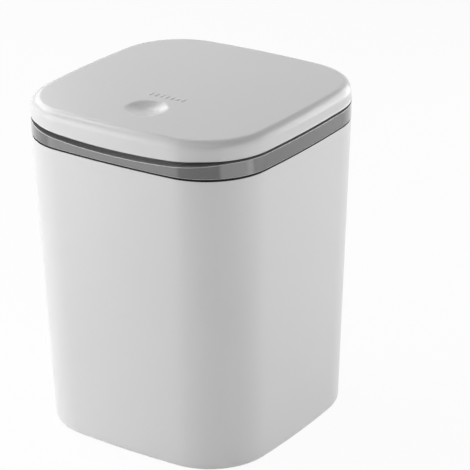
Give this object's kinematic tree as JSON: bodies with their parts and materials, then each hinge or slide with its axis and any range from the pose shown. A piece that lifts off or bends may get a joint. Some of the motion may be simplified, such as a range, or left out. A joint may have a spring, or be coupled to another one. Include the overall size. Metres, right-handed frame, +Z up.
{
  "type": "push top countertop bin",
  "caption": "Countertop bin with a tapered bucket, a collar ring and a lid that pops open on a push latch when its dish is pressed.",
  "frame": {"origin": "centre of the foot on the countertop", "axes": "+Z up, -Y to the front edge with the press dish, +Y to the hinge, +X to the right seen from the front"},
  "size_m": [0.135, 0.135, 0.175],
  "materials": {
    "body_plastic": "satin white moulded plastic",
    "lid_plastic": "polished white moulded plastic",
    "ring_plastic": "polished mid-grey moulded plastic",
    "liner_plastic": "plain moulded white",
    "latch_plastic": "plain moulded dark grey",
    "slider_plastic": "slippery natural acetal",
    "pin_steel": "ground",
    "spring_steel": "drawn wire",
    "screw_steel": "zinc plated"
  },
  "bodies": {
    "base": {"bucket": "body_plastic", "collar_ring": "ring_plastic", "latch_housing": "latch_plastic", "latch_cap": "latch_plastic", "latch_screws": "screw_steel", "latch_cam_wire": "spring_steel", "latch_spring": "spring_steel", "lid_spring_left": "spring_steel", "lid_spring_right": "spring_steel"},
    "pin": {"hinge_pin": "pin_steel"},
    "lid": {"lid_shell": "lid_plastic", "lid_liner": "liner_plastic", "liner_screws": "screw_steel", "striker": "slider_plastic", "striker_screws": "screw_steel"},
    "slider": {"latch_slider": "slider_plastic", "jaw_pins": "pin_steel"},
    "jaw_left": {"latch_jaw_left": "slider_plastic"},
    "jaw_right": {"latch_jaw_right": "slider_plastic"}
  },
  "joints": [
    {"name": "lid_press", "type": "hinge", "parent": "base", "child": "pin", "pos_m": [0, 0.06214, 0.1662], "axis": [-1, 0, 0], "range_deg": [-0.5, 2.5], "stiffness_Nm_per_rad": 12.5, "springref_deg": 0.22, "deforming": ["latch_spring", "latch_cam_wire", "lid_spring_left", "lid_spring_right"]},
    {"name": "lid_swing", "type": "hinge", "parent": "pin", "child": "lid", "pos_m": [0, 0.06214, 0.1662], "axis": [-1, 0, 0], "range_deg": [0, 88], "deforming": ["lid_spring_left", "lid_spring_right"]},
    {"name": "latch_slide", "type": "slide", "parent": "base", "child": "slider", "axis": [0, 0, 1], "range_m": [-0.001, 0.005]},
    {"name": "jaw_left_turn", "type": "hinge", "parent": "slider", "child": "jaw_left", "pos_m": [-0.0046, -0.052, 0.1485], "axis": [0, -1, 0], "range_deg": [-4, 20]},
    {"name": "jaw_right_turn", "type": "hinge", "parent": "slider", "child": "jaw_right", "pos_m": [0.0046, -0.052, 0.1485], "axis": [0, 1, 0], "range_deg": [-4, 20]}
  ],
  "couplings": [
    {"joint": "latch_slide", "follows": "lid_press", "m_per_rad": 0.11414},
    {"joint": "jaw_left_turn", "follows": "lid_press", "ratio": 8},
    {"joint": "jaw_right_turn", "follows": "lid_press", "ratio": 8}
  ]
}
